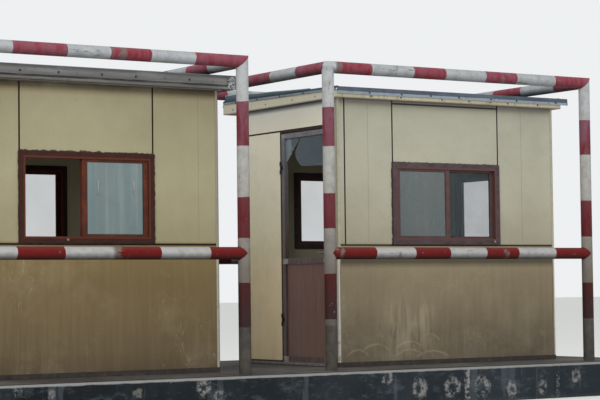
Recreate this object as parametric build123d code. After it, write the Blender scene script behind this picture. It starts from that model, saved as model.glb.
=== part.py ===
from build123d import *
import os

# A raised toll island with two cabins in line, each inside a guard frame of striped pipe.
# X runs along the island, Y from the near lane to the far lane, Z up.
# The origin is the centre of the island's underside. All sizes are in millimetres.

# Raised island
island_height = 319
island_margin_side = 370  # guard post line to the kerb face
island_margin_end = 640  # last guard post to the island's end
kerb_width = 160
kerb_arris = 22
kerb_joint = 2
kerb_length_target = 1080
island_corner_radius = 320

# Guard frames
pipe_od = 108
pipe_wall = 5
guard_height = 2700  # rail centre above the island's top
guard_mid_height = 1039
guard_span = 3015
guard_depth = 2540
guard_gap = 894  # between the two frames' neighbouring posts
corner_stub = 60  # post axis to the joint between rounded corner and rail
cope_gap = 0.3

# Cabins
cabin_span_less = 429  # guard span less the cabin's width
cabin_setback = 487  # front wall behind the front guard posts
cabin_back_gap = 303  # back wall before the back guard posts
cabin_gap = {"left": 462, "right": 423}  # left guard posts to the cabin's left wall
rail_over_wall = 210  # guard rail centre above the top of the walls
wall = 50
base_height = 46
base_width = 58
base_proud = 4
threshold_height = 18
floor_thickness = 18
corner_leg = 24
corner_skin = 3
corner_strip = 72  # narrow panel at the left end of a window wall
joint_face = 16  # open joint between panels, as seen outside
joint_depth = 14
head_joint = {"left": 0, "right": 22}  # joint over the window below the top of the walls, 0 for none

# Sliding windows
window_margin = {"left": 661, "right": 619}  # cabin's left wall to the window
window_span_less = 1306  # cabin's width less the window's width
end_window_margin = 245
window_bottom = 1134
window_head = 584  # window to the top of the wall
window_face = 56
window_depth = 78
window_proud = 16
track_width = 24
track_depth = 14
track_rib = 4
sash_stile = 46
sash_rail = 32
sash_thick = 20
sash_lap = 28
sash_play = 2
sash_ajar = {"left": 14, "right": 0}  # front sash at the right, short of its jamb
glass_thick = 5
glass_bite = 10
seat = 0.3

# Door
door_front = 128  # front edge of the door frame, from the cabin's front corner
door_frame_face = 16
door_frame_depth = 62
door_frame_width = 852
door_head = 250  # door frame to the top of the wall
door_stop = 20  # strips inside the frame that the leaf closes towards
door_play = 6  # running gap round the leaf
door_thick = 40
stile_face = 52
top_rail_face = 47
mid_rail_face = 57
mid_rail_bottom = 963
bottom_rail_face = 64
kick_thick = 12
hinge_length = 120
hinge_foot = 409  # lower hinge above the leaf's foot
hinge_head = 326  # upper hinge below the leaf's top
hinge_knuckle = 7
hinge_pin = 3.5
hinge_clear = 0.3
hinge_plate = 2.5
hinge_plate_width = 30
hinge_stand = 8
handle_height = 1060
lock_plate_width = 40
lock_plate_height = 160
lock_plate_thick = 4
lever_radius = 8
lever_length = 115
lever_stand = 36  # lever's middle off the door
lever_tail = 10  # lever's end past its neck
lever_neck = 6

# Roofs: a board all round the ceiling, a ribbed sheet on it and folded trims along its edges
ceiling_thick = 48
fascia_thick = 12
fascia_front = 60  # overhangs beyond the walls
fascia_left = 36
fascia_right = {"left": 36, "right": 72}
roof_back_gap = 20  # boards before the back guard posts
roof_rise = 34  # the roof falls towards the near lane
fascia_foot = {"left": 8, "right": -3}  # from the top of the walls
fascia_top = 69
sheet_thick = 2
sheet_rise = 24
sheet_pitch = 200
sheet_crest = 60
sheet_valley = 90
sheet_inset = 3  # behind the face of the boards
trim_thick = 2.5
trim_flange = 20
trim_proud = 3
trim_lip_proud = 10
trim_lip_foot = 34
trim_lip_top = 58
trim_fold = 3
trim_top = 99
side_trim_lip = 66  # the trims on the sides sit higher on their boards
side_trim_top = 104
side_lip_height = 16
front_trim_tail = 88
flashing_proud = 12
flashing_foot = 10
flashing_lip_top = 33
flashing_groove = 6
flashing_fold = 5.5
flashing_top = 135
flashing_tail = 119

# Values that follow from the sizes above
pair_length = 2 * guard_span + guard_gap
island_length = pair_length + 2 * island_margin_end
island_width = guard_depth + 2 * island_margin_side
top = island_height
post_front = -guard_depth / 2
guard_left = {"left": -pair_length / 2, "right": pair_length / 2 - guard_span}
cabin_front = post_front + cabin_setback
cabin_width = guard_span - cabin_span_less
cabin_depth = guard_depth - cabin_setback - cabin_back_gap
wall_top = guard_height - rail_over_wall
window_width = cabin_width - window_span_less
window_top = wall_top - window_head
end_window_width = cabin_depth - 2 * end_window_margin
fascia_back = cabin_back_gap - pipe_od / 2 - roof_back_gap
roof_depth = fascia_front + cabin_depth + fascia_back
door_frame_top = wall_top - door_head
track_margin = (window_depth - 2 * track_width - track_rib) / 2  # each side of the two tracks
pipe_r = pipe_od / 2


def save(name, *solids):
    shape = Compound(children=list(solids)) if len(solids) > 1 else solids[0]
    export_step(shape, os.path.join("parts", name + ".step"))


def block(x0, x1, y0, y1, z0, z1):
    return Pos(x0, y0, z0) * Box(x1 - x0, y1 - y0, z1 - z0, align=(Align.MIN, Align.MIN, Align.MIN))


def moved(shapes, dx, dy, dz):
    return [Pos(dx, dy, dz) * shape for shape in shapes]


# Island: a row of kerb stones with quarter-round corners about a cast infill

def kerb_stone(length):
    stone = block(0, length, 0, kerb_width, 0, island_height)
    arris = stone.edges().filter_by(Axis.X).sort_by(Axis.Z)[-2:].sort_by(Axis.Y)[0]
    return fillet(arris, kerb_arris)


def kerb_run(length):
    count = max(1, round(length / kerb_length_target))
    stone_length = (length - kerb_joint * (count + 1)) / count
    stone = kerb_stone(stone_length)
    step = stone_length + kerb_joint
    return [Pos(kerb_joint + i * step, 0, 0) * stone for i in range(count)]


def kerb_corner():
    r = island_corner_radius
    section = Plane.XZ * Pos(-r, 0) * Rectangle(kerb_width, island_height, align=(Align.MIN, Align.MIN))
    ring = revolve(section, Axis.Z, 90)
    outer = ring.edges().filter_by(GeomType.CIRCLE).group_by(Axis.Z)[-1].sort_by(SortBy.LENGTH)[-1]
    return fillet(outer, kerb_arris)


def build_island():
    r = island_corner_radius
    half_x = island_length / 2
    half_y = island_width / 2
    long_run = kerb_run(island_length - 2 * r)
    short_run = kerb_run(island_width - 2 * r)
    front = moved(long_run, -half_x + r, -half_y, 0)
    back = [Rot(0, 0, 180) * stone for stone in front]
    right = [Pos(half_x, -half_y + r, 0) * Rot(0, 0, 90) * stone for stone in short_run]
    left = [Rot(0, 0, 180) * stone for stone in right]
    corner = kerb_corner()
    corners = []
    for turn, sx, sy in ((0, -1, -1), (90, 1, -1), (180, 1, 1), (270, -1, 1)):
        corners.append(Pos(sx * (half_x - r), sy * (half_y - r), 0) * Rot(0, 0, turn) * corner)
    save("kerb_front", *front)
    save("kerb_back", *back)
    save("kerb_ends", *left, *right)
    save("kerb_corners", *corners)
    inner_x = island_length - 2 * kerb_width - 2 * seat
    inner_y = island_width - 2 * kerb_width - 2 * seat
    infill = RectangleRounded(inner_x, inner_y, r - kerb_width)
    save("island_infill", extrude(infill, island_height))


# Guard frame: two pipe hoops, each with one bent and one mitred corner, joined by coped rails

def upright(x, z0, z1, radius):
    return Pos(x, 0, z0) * extrude(Circle(radius), z1 - z0)


def along_x(z, x0, x1, radius):
    return Plane(origin=(x0, 0, z), z_dir=(1, 0, 0)) * extrude(Circle(radius), x1 - x0)


def along_y(x, z, y0, y1, radius):
    return Plane(origin=(x, y0, z), z_dir=(0, 1, 0)) * extrude(Circle(radius), y1 - y0)


def rounded_post(radius):
    # An upright that turns into the rail by a ball corner
    ball = Pos(0, 0, guard_height) * Sphere(radius)
    return upright(0, 0, guard_height, radius) + ball + along_x(guard_height, 0, corner_stub, radius)


def mitre_plane():
    return Plane(origin=(guard_span, 0, guard_height), z_dir=(1, 0, -1))


def mitred_post(radius):
    post = upright(guard_span, 0, guard_height + 2 * pipe_r, radius)
    return split(post, bisect_by=mitre_plane(), keep=Keep.TOP)


def top_rail(radius):
    rail = along_x(guard_height, corner_stub, guard_span + 2 * pipe_r, radius)
    return split(rail, bisect_by=mitre_plane(), keep=Keep.BOTTOM)


def hollow(make, *sizes):
    # The pipe that a shape maker gives for the outer radius, less the one for its bore
    return make(*sizes, pipe_r) - make(*sizes, pipe_r - pipe_wall)


def hoop_envelope():
    radius = pipe_r + cope_gap
    return rounded_post(radius) + mitred_post(radius) + top_rail(radius)


def build_guard(side):
    x = guard_left[side]
    front = Pos(x, post_front, top)
    back = Pos(x, post_front + guard_depth, top)
    envelope = hoop_envelope()
    mid = hollow(along_x, guard_mid_height, 0, guard_span) - envelope
    side_rails = [hollow(along_y, end, guard_height, 0, guard_depth) for end in (0, guard_span)]
    cutters = envelope + Pos(0, guard_depth, 0) * envelope
    side_rails = [front * (rail - cutters) for rail in side_rails]
    hoop_posts = (hollow(rounded_post), hollow(mitred_post))
    posts = [place * post for place in (front, back) for post in hoop_posts]
    rail = hollow(top_rail)
    save(side + "_guard_posts", *posts)
    save(side + "_guard_front_top_rail", front * rail)
    save(side + "_guard_back_top_rail", back * rail)
    save(side + "_guard_side_rails", *side_rails)
    save(side + "_guard_mid_rails", front * mid, back * mid)


# Cabin, in its own frame: X from its left wall, Y from its front wall, Z from the island's top

def build_base():
    # Four beams under the walls, with the door side lowered to a threshold
    out = base_proud
    inner = base_width - base_proud
    far_x = cabin_width - inner
    far_y = cabin_depth - inner
    front = block(-out, cabin_width + out, -out, inner, 0, base_height)
    back = block(-out, cabin_width + out, far_y, cabin_depth + out, 0, base_height)
    end = block(far_x, cabin_width + out, inner + seat, far_y - seat, 0, base_height)
    door_side = block(-out, inner, inner + seat, far_y - seat, 0, base_height)
    door_back = door_front + door_frame_width
    door_side -= block(-out, inner, door_front, door_back, threshold_height, base_height)
    return [front, back, end, door_side]


def build_floor():
    inner = base_width - base_proud + seat
    return block(inner, cabin_width - inner, inner, cabin_depth - inner, 0, floor_thickness)


def corner_post():
    # An angle that covers the joint between two walls
    leg = corner_leg
    t = corner_skin
    outline = Polyline((-t, -t), (leg, -t), (leg, 0), (0, 0), (0, leg), (-t, leg), close=True)
    return Pos(0, 0, base_height) * extrude(make_face(outline), wall_top - base_height)


def build_corner_posts():
    post = corner_post()
    posts = []
    corners = ((0, 0), (cabin_width, 0), (cabin_width, cabin_depth), (0, cabin_depth))
    for count, (x, y) in enumerate(corners):
        posts.append(Pos(x, y, 0) * Rot(0, 0, 90 * count) * post)
    return posts


def panel(x0, x1, z0, z1, open_edges=""):
    # A wall panel, rebated outside along the edges named in open_edges: l, r, t or b
    board = block(x0, x1, 0, wall, z0, z1)
    rebates = {
        "l": (x0, x0 + joint_face, z0, z1),
        "r": (x1 - joint_face, x1, z0, z1),
        "t": (x0, x1, z1 - joint_face, z1),
        "b": (x0, x1, z0, z0 + joint_face),
    }
    for edge in open_edges:
        a, b, low, high = rebates[edge]
        board -= block(a, b, 0, joint_depth, low, high)
    return board


def window_wall(side, length, inset, left, width):
    # Panels about a window: one below, a strip and a panel before it, one after it and one above
    end = length - inset
    right = left + width
    foot = window_bottom
    above = panel(left, right, window_top + seat, wall_top, "lr")
    if head_joint[side]:
        joint_top = wall_top - head_joint[side]
        above -= block(left, right, 0, joint_depth, joint_top - joint_face, joint_top)
    return [
        panel(inset, end, base_height, foot - seat, "t"),
        panel(inset, corner_strip, foot, wall_top),
        panel(corner_strip + seat, left - seat, foot, wall_top, "l"),
        panel(right + seat, end, foot, wall_top),
        above,
    ]


def door_wall():
    # Drawn as a wall that faces the front, then turned to the left end
    start = wall + seat
    end = cabin_depth - start
    near = cabin_depth - door_front
    far = near - door_frame_width
    head = door_frame_top - seat
    panels = [
        panel(start, far - seat, base_height, head),
        panel(near + seat, end, base_height, head),
        panel(start, end, door_frame_top, wall_top, "b"),
    ]
    return [Pos(0, cabin_depth, 0) * Rot(0, 0, -90) * board for board in panels]


def frame_section():
    # A channel with two tracks towards the glass and a lip proud of the wall
    low = (Align.MIN, Align.MIN)
    section = Rectangle(window_depth, window_face, align=low)
    for i in range(2):
        x = track_margin + i * (track_width + track_rib)
        section -= Pos(x, window_face - track_depth) * Rectangle(track_width, track_depth, align=low)
    return section


def sash_profile(face):
    # A bar with a glazing groove along its inner edge
    low = (Align.MIN, Align.MIN)
    groove = glass_thick + 2 * seat
    section = Rectangle(sash_thick, face, align=low)
    place = Pos((sash_thick - groove) / 2, face - glass_bite)
    return section - place * Rectangle(groove, glass_bite, align=low)


def mitred_member(section, length, across):
    # The section's height points to the window's middle, and each end is cut to meet a member so far across
    face = section.bounding_box().size.Y
    member = Plane(origin=(0, 0, 0), x_dir=(0, 1, 0), z_dir=(1, 0, 0)) * extrude(section, length)
    start = Plane(origin=(seat / 2, 0, 0), z_dir=(-face, 0, across))
    end = Plane(origin=(length - seat / 2, 0, 0), z_dir=(face, 0, across))
    member = split(member, bisect_by=start, keep=Keep.BOTTOM)
    return split(member, bisect_by=end, keep=Keep.BOTTOM)


def mitred_frame(flat_section, tall_section, width, height):
    flat = mitred_member(flat_section, width, tall_section.bounding_box().size.Y)
    tall = mitred_member(tall_section, height, flat_section.bounding_box().size.Y)
    sill = flat
    head = Pos(0, 0, height) * mirror(flat, Plane.XY)
    left = mirror(Rot(0, -90, 0) * tall, Plane.YZ)
    right = Pos(width, 0, 0) * mirror(left, Plane.YZ)
    return [sill, head, left, right]


def build_window(width, open_left, ajar=0):
    height = window_top - window_bottom
    channel = frame_section()
    frame = moved(mitred_frame(channel, channel, width, height), 0, -window_proud, 0)
    inner = window_face - track_depth + sash_play
    stand = window_face - track_depth + seat
    sash_height = height - stand - inner
    sash_width = (width - 2 * inner + sash_stile + sash_lap) / 2
    sashes = []
    panes = []
    for track in range(2):
        track_middle = track_margin + track * (track_width + track_rib) + track_width / 2
        y = track_middle - window_proud - sash_thick / 2
        at_left = track == 0 and not open_left
        x = inner if at_left else width - inner - sash_width - ajar
        sash = mitred_frame(sash_profile(sash_rail), sash_profile(sash_stile), sash_width, sash_height)
        sashes += moved(sash, x, y, stand)
        side_bite = sash_stile - glass_bite + seat
        low_bite = sash_rail - glass_bite + seat
        pane = block(side_bite, sash_width - side_bite, 0, glass_thick, low_bite, sash_height - low_bite)
        panes.append(Pos(x, y + (sash_thick - glass_thick) / 2, stand) * pane)
    return frame, sashes, panes


def build_windows(side):
    # Front, back and far end windows, each as frame members, sashes and panes
    margin = window_margin[side]
    front = build_window(window_width, side == "left", sash_ajar[side])
    plain = build_window(window_width, False)
    end = build_window(end_window_width, False)
    places = [
        (front, Pos(margin, 0, window_bottom)),
        (plain, Pos(margin + window_width, cabin_depth, window_bottom) * Rot(0, 0, 180)),
        (end, Pos(cabin_width, end_window_margin, window_bottom) * Rot(0, 0, 90)),
    ]
    groups = ([], [], [])
    for window, place in places:
        for group, pieces in zip(groups, window):
            group += [place * piece for piece in pieces]
    return groups


def door_opening():
    y0 = door_front + door_frame_face
    y1 = door_front + door_frame_width - door_frame_face
    z1 = door_frame_top - door_frame_face
    return y0, y1, z1


def build_door_frame():
    # Two jambs and a head, each with a stop strip behind the leaf
    y0, y1, z1 = door_opening()
    deep = door_frame_depth
    z0 = threshold_height
    near = block(0, deep, door_front, y0, z0, z1 - seat)
    far = block(0, deep, y1, door_front + door_frame_width, z0, z1 - seat)
    head = block(0, deep, door_front, door_front + door_frame_width, z1, door_frame_top - seat)
    stop = door_thick + door_play
    low = z1 - door_stop
    near_stop = block(stop, deep, y0 + seat, y0 + door_stop, z0, low - seat)
    far_stop = block(stop, deep, y1 - door_stop, y1 - seat, z0, low - seat)
    head_stop = block(stop, deep, y0 + seat, y1 - seat, low, z1 - seat)
    return [near, far, head, near_stop, far_stop, head_stop]


def leaf_box():
    y0, y1, z1 = door_opening()
    return y0 + door_play, y1 - door_play, threshold_height + door_play, z1 - door_play


def build_leaf():
    # Two stiles with three rails between them
    y0, y1, z0, z1 = leaf_box()
    inner0 = y0 + stile_face
    inner1 = y1 - stile_face
    members = [block(0, door_thick, y0, inner0, z0, z1), block(0, door_thick, inner1, y1, z0, z1)]
    rails = [
        (z0, bottom_rail_face),
        (mid_rail_bottom, mid_rail_face),
        (z1 - top_rail_face, top_rail_face),
    ]
    for low, face in rails:
        members.append(block(0, door_thick, inner0 + seat, inner1 - seat, low, low + face))
    return members


def build_kick():
    y0, y1, z0, z1 = leaf_box()
    x0 = (door_thick - kick_thick) / 2
    return block(
        x0, x0 + kick_thick, y0 + stile_face, y1 - stile_face, z0 + bottom_rail_face, mid_rail_bottom
    )


def build_shards():
    # What is left of the broken pane, held in its rebate under the top rail
    # Corners are shares of the pane: of its width from the hinge side, of its height from the top
    y0, y1, z0, z1 = leaf_box()
    hinge_side = y1 - stile_face
    width = hinge_side - y0 - stile_face
    head = z1 - top_rail_face
    height = head - mid_rail_bottom - mid_rail_face
    outlines = [
        [(0, 0), (0.031, 0), (0.183, 0.105), (0, 0.209)],
        [(0.037, 0), (0.361, 0), (0.189, 0.102)],
        [
            (0.384, 0), (0.237, 0.116), (0.243, 0.155), (0.291, 0.196),
            (0.364, 0.234), (0.469, 0.243), (1, 0.257), (1, 0),
        ],
    ]
    x0 = (door_thick - glass_thick) / 2
    shards = []
    for outline in outlines:
        points = [(hinge_side - across * width, head - down * height) for across, down in outline]
        face = make_face(Polyline(*points, close=True))
        shard = Plane(origin=(x0, 0, 0), x_dir=(0, 1, 0), z_dir=(1, 0, 0)) * extrude(face, glass_thick)
        shards.append(shard)
    return shards


def hinge_axis():
    y0, y1, z1 = door_opening()
    return -hinge_stand, y1 - door_play / 2


def knuckle(z0, z1, hole):
    x, y = hinge_axis()
    ring = Circle(hinge_knuckle)
    if hole:
        ring -= Circle(hinge_pin + hinge_clear)
    return Pos(x, y, z0) * extrude(ring, z1 - z0)


def hinge_leaf(y_sign, z0, z1):
    x, y = hinge_axis()
    y_near = y + y_sign * hinge_knuckle / 2
    y_far = y + y_sign * hinge_plate_width
    return block(-hinge_plate, 0, min(y_near, y_far), max(y_near, y_far), z0, z1)


def build_hinges():
    third = hinge_length / 3
    leaf_z0, leaf_z1 = leaf_box()[2:]
    x, y = hinge_axis()
    fixed = []
    moving = []
    for height in (leaf_z0 + hinge_foot, leaf_z1 - hinge_head):
        z0 = height - hinge_length / 2
        low = knuckle(z0, z0 + third - hinge_clear, False)
        high = knuckle(z0 + 2 * third + hinge_clear, z0 + hinge_length, False)
        pin = Pos(x, y, z0) * extrude(Circle(hinge_pin), hinge_length)
        leaves = hinge_leaf(1, z0, z0 + third) + hinge_leaf(1, z0 + 2 * third, z0 + hinge_length)
        fixed.append(low + high + pin + leaves)
        middle = knuckle(z0 + third, z0 + 2 * third, True)
        clear = Pos(x, y, z0) * extrude(Circle(hinge_pin + hinge_clear), hinge_length)
        moving.append((middle + hinge_leaf(-1, z0 + third, z0 + 2 * third)) - clear)
    return fixed, moving


def build_handle():
    # A plain lock case with a lever on the free stile
    y0, y1, z0, z1 = leaf_box()
    y = y0 + stile_face / 2
    z = handle_height
    half_width = lock_plate_width / 2
    half_height = lock_plate_height / 2
    plate = block(-lock_plate_thick, 0, y - half_width, y + half_width, z - half_height, z + half_height)
    neck = Plane(origin=(0, y, z), z_dir=(-1, 0, 0)) * extrude(Circle(lever_neck), lever_stand)
    lever = along_y(-lever_stand, z, y - lever_tail, y - lever_tail + lever_length, lever_radius)
    return plate + neck + lever


def roof_outline(side, inset):
    # The outer faces of the boards, taken in by an inset
    x0 = -fascia_left + inset
    x1 = cabin_width + fascia_right[side] - inset
    return x0, x1, -fascia_front + inset, cabin_depth + fascia_back - inset


def roof_plane(height):
    # A plane with the roof's fall, at a height over the walls along the front boards
    normal = (0, -roof_rise, roof_depth)
    return Plane(origin=(0, -fascia_front, wall_top + height), x_dir=(1, 0, 0), z_dir=normal)


def build_ceiling(side):
    return block(*roof_outline(side, fascia_thick), wall_top, wall_top + ceiling_thick)


def build_fascia(side):
    x0, x1, y0, y1 = roof_outline(side, 0)
    t = fascia_thick
    z0 = wall_top + fascia_foot[side]
    z1 = wall_top + fascia_top + roof_rise
    boards = [
        block(x0, x1, y0, y0 + t, z0, z1),
        block(x0, x1, y1 - t, y1, z0, z1),
        block(x0, x0 + t, y0 + t + seat, y1 - t - seat, z0, z1),
        block(x1 - t, x1, y0 + t + seat, y1 - t - seat, z0, z1),
    ]
    return [split(board, bisect_by=roof_plane(fascia_top), keep=Keep.BOTTOM) for board in boards]


def folded(points, length):
    # Sheet metal bent along a line of points, then run out along its length
    line = Polyline(*points)
    face = make_face(offset(line, trim_thick, kind=Kind.INTERSECTION, side=Side.RIGHT))
    return extrude(face, length)


def stepped_trim(foot, lip, top_height):
    # Points run from the hem on the board's face up to the flange over the sheet
    return [
        (0, foot),
        (-trim_lip_proud, foot),
        (-trim_lip_proud, foot + lip),
        (-trim_proud, foot + lip + trim_fold),
        (-trim_proud, top_height),
        (trim_flange, top_height),
    ]


def grooved_flashing():
    web = -trim_thick - seat
    out = -flashing_proud
    groove = flashing_lip_top + flashing_fold
    return [
        (0, flashing_foot),
        (out, flashing_foot),
        (out, flashing_lip_top),
        (web, groove),
        (web, groove + flashing_groove),
        (out, groove + flashing_groove + flashing_fold),
        (out, flashing_top),
        (trim_flange, flashing_top),
    ]


def build_trims(side):
    # Front and back trims run through; the side trims follow the fall and end clear of their flanges
    x0, x1, y0, y1 = roof_outline(side, 0)
    step = stepped_trim(trim_lip_foot, trim_lip_top - trim_lip_foot, trim_top)
    if side == "left":
        points = grooved_flashing()
        tail = flashing_tail
    else:
        points = step
        tail = front_trim_tail
    front_plane = Plane(origin=(x0, y0, wall_top), x_dir=(0, 1, 0), z_dir=(1, 0, 0))
    back_plane = Plane(origin=(x1, y1, wall_top + roof_rise), x_dir=(0, -1, 0), z_dir=(-1, 0, 0))
    front = front_plane * folded(points, x1 - x0 + tail)
    back = back_plane * folded(step, x1 - x0)
    low_side = stepped_trim(side_trim_lip, side_lip_height, side_trim_top)
    clear = trim_flange + seat
    back_end = wall_top + roof_rise * (roof_depth - clear) / roof_depth
    front_end = wall_top + roof_rise * clear / roof_depth
    down = (0, -roof_depth, -roof_rise)
    up = (0, roof_depth, roof_rise)
    left_plane = Plane(origin=(x0, y1 - clear, back_end), x_dir=(1, 0, 0), z_dir=down)
    right_plane = Plane(origin=(x1, y0 + clear, front_end), x_dir=(-1, 0, 0), z_dir=up)
    left = left_plane * folded(low_side, roof_depth - clear)
    right = right_plane * folded(low_side, roof_depth - 2 * clear)
    return [front, back, left, right]


def sheet_profile(width):
    # Trapezoid ribs: the sheet's centre line is walked once along each face
    count = int((width - sheet_valley) // sheet_pitch)
    slope = (sheet_pitch - sheet_crest - sheet_valley) / 2
    start = (width - count * sheet_pitch - sheet_valley) / 2
    top_line = [(0, sheet_thick)]
    for i in range(count):
        x = start + sheet_valley + i * sheet_pitch
        top_line += [
            (x, sheet_thick),
            (x + slope, sheet_thick + sheet_rise),
            (x + slope + sheet_crest, sheet_thick + sheet_rise),
            (x + 2 * slope + sheet_crest, sheet_thick),
        ]
    top_line.append((width, sheet_thick))
    under = [(x, z - sheet_thick) for x, z in reversed(top_line)]
    return make_face(Polyline(*top_line, *under, close=True))


def build_sheet(side):
    x0, x1, y0, y1 = roof_outline(side, sheet_inset)
    slope = roof_plane(fascia_top)
    edge = Plane(origin=slope.origin, x_dir=(1, 0, 0), z_dir=-slope.y_dir)
    length = y1 - y0
    return edge * Pos(x0, 0, -sheet_inset - length) * extrude(sheet_profile(x1 - x0), length)


def build_cabin(side):
    place = Pos(guard_left[side] + cabin_gap[side], cabin_front, top)

    def put(name, shapes):
        save(side + "_" + name, *[place * shape for shape in shapes])

    put("base_frame", build_base())
    put("floor", [build_floor()])
    put("corner_posts", build_corner_posts())
    margin = window_margin[side]
    far_margin = window_span_less - margin
    put("front_panels", window_wall(side, cabin_width, 0, margin, window_width))
    back = window_wall(side, cabin_width, 0, far_margin, window_width)
    put("back_panels", [Pos(cabin_width, cabin_depth, 0) * Rot(0, 0, 180) * panel for panel in back])
    put("door_wall_panels", door_wall())
    end = window_wall(side, cabin_depth, wall + seat, end_window_margin, end_window_width)
    put("end_wall_panels", [Pos(cabin_width, 0, 0) * Rot(0, 0, 90) * panel for panel in end])
    frames, sashes, panes = build_windows(side)
    put("window_frames", frames)
    put("window_sashes", sashes)
    put("window_glass", panes)
    put("door_frame", build_door_frame())
    put("door_leaf", build_leaf())
    put("door_kick_panel", [build_kick()])
    put("door_broken_glass", build_shards())
    fixed, moving = build_hinges()
    put("hinge_pins", fixed)
    put("hinge_leaves", moving)
    put("door_handle", [build_handle()])
    put("ceiling", [build_ceiling(side)])
    put("fascia", build_fascia(side))
    put("roof_trim", build_trims(side))
    put("roof_sheet", [build_sheet(side)])
    x, y = hinge_axis()
    print(side, "door hinge at", [round(v / 1000, 5) for v in (place * Vertex(x, y, 0)).center()])


def main():
    os.makedirs("parts", exist_ok=True)
    build_island()
    for side in ("left", "right"):
        build_guard(side)
        build_cabin(side)


main()
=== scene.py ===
import math

import bmesh
import bpy
from mathutils import Matrix, Vector, noise


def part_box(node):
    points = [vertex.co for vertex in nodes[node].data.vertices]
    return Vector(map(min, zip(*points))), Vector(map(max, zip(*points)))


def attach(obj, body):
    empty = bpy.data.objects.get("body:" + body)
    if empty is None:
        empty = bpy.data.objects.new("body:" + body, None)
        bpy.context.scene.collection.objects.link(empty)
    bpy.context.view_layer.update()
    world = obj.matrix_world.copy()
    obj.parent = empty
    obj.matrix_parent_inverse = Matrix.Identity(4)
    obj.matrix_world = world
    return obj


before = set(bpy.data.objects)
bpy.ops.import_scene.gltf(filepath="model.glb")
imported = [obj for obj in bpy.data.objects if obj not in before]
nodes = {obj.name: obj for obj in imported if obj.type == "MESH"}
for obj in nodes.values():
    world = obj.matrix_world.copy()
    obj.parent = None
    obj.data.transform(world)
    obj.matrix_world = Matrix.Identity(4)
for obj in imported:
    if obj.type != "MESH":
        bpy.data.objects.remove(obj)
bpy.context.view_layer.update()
sides = ("left", "right")


def tint(red, green, blue):
    # A colour given as 0 to 255, turned into the linear values that the shader wants
    def linear(share):
        return share / 12.92 if share <= 0.04045 else ((share + 0.055) / 1.055) ** 2.4
    return (linear(red / 255), linear(green / 255), linear(blue / 255), 1.0)


# Shader maths: a wrapped socket takes part in plain expressions

class Wire:
    def __init__(self, coat, socket):
        self.coat = coat
        self.socket = socket

    def __add__(self, other):
        return self.coat.maths("ADD", self, other)

    def __radd__(self, other):
        return self.coat.maths("ADD", other, self)

    def __sub__(self, other):
        return self.coat.maths("SUBTRACT", self, other)

    def __rsub__(self, other):
        return self.coat.maths("SUBTRACT", other, self)

    def __mul__(self, other):
        return self.coat.maths("MULTIPLY", self, other)

    def __rmul__(self, other):
        return self.coat.maths("MULTIPLY", other, self)

    def clamp(self):
        return self.coat.maths("ADD", self, 0.0, clamp=True)

    def size(self):
        return self.coat.maths("ABSOLUTE", self, 0.0)

    def root(self):
        return self.coat.maths("SQRT", self, 0.0)

    def square(self):
        return self.coat.maths("POWER", self.size(), 2.0)

    def above(self, edge, soft):
        # 0 below the edge, 1 above it, over a soft width
        return ((self - (edge - soft / 2)) * (1 / soft)).clamp()

    def below(self, edge, soft):
        return 1 - self.above(edge, soft)

    def between(self, low, high, soft):
        return self.above(low, soft) * self.below(high, soft)


surfaceSockets = {
    "rough": "Roughness", "metal": "Metallic", "alpha": "Alpha", "coat": "Coat Weight",
    "specular": "Specular IOR Level",
}


class Finish:
    def __init__(self, name):
        self.material = bpy.data.materials.new(name)
        self.material.use_nodes = True
        self.tree = self.material.node_tree
        self.tree.nodes.clear()
        self.shader = self.raw("ShaderNodeBsdfPrincipled", {}, {})
        self.raw("ShaderNodeOutputMaterial", {}, {0: Wire(self, self.shader.outputs[0])})
        self.spot = self.node("ShaderNodeTexCoord", {}, {}, "Object")
        self.x, self.y, self.z = self.split(self.spot)
        normal = self.split(self.node("ShaderNodeNewGeometry", {}, {}, "Normal"))
        self.facingX, self.up = normal[0], normal[2]

    def fill(self, made, sockets):
        for key, value in sockets.items():
            if isinstance(value, Wire):
                self.tree.links.new(value.socket, made.inputs[key])
            else:
                made.inputs[key].default_value = value
        return made

    def raw(self, kind, settings, sockets):
        made = self.tree.nodes.new(kind)
        for key, value in settings.items():
            if key == "stops":
                ramp = made.color_ramp
                while len(ramp.elements) < len(value):
                    ramp.elements.new(0.5)
                for element, (place, *paint) in zip(ramp.elements, value):
                    element.position = place
                    element.color = tint(*paint)
            else:
                setattr(made, key, value)
        return self.fill(made, sockets)

    def node(self, kind, settings, sockets, out=0):
        return Wire(self, self.raw(kind, settings, sockets).outputs[out])

    def split(self, vector):
        return [Wire(self, part) for part in self.raw("ShaderNodeSeparateXYZ", {}, {0: vector}).outputs]

    def maths(self, operation, first, second, clamp=False):
        settings = {"operation": operation, "use_clamp": clamp}
        return self.node("ShaderNodeMath", settings, {0: first, 1: second})

    def blend(self, factor, first, second):
        first, second = (tint(*paint) if isinstance(paint, tuple) else paint for paint in (first, second))
        return self.node("ShaderNodeMix", {"data_type": "RGBA"}, {0: factor, 6: first, 7: second}, 2)

    def layer(self, factor, paint):
        # One more layer over the running colour
        self.colour = self.blend(factor, self.colour, paint)

    def ramp(self, share, stops):
        return self.node("ShaderNodeValToRGB", {"stops": stops}, {0: share})

    def noise(self, scale, detail=6, rough=0.65, stretch=None, warp=0):
        spot = self.spot
        if stretch:
            spot = self.node("ShaderNodeVectorMath", {"operation": "MULTIPLY"}, {0: spot, 1: stretch})
        sockets = {"Vector": spot, "Scale": scale, "Detail": detail, "Roughness": rough, "Distortion": warp}
        return self.node("ShaderNodeTexNoise", {}, sockets)

    def close(self, height, strength, distance, **values):
        # Joins the bump, the running colour and the surface's values, and gives the material
        bump = self.node("ShaderNodeBump", {}, {"Height": height, "Strength": strength, "Distance": distance})
        self.fill(self.shader, {"Normal": bump, "Base Color": self.colour})
        self.fill(self.shader, {surfaceSockets[key]: value for key, value in values.items()})
        return self.material


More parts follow.
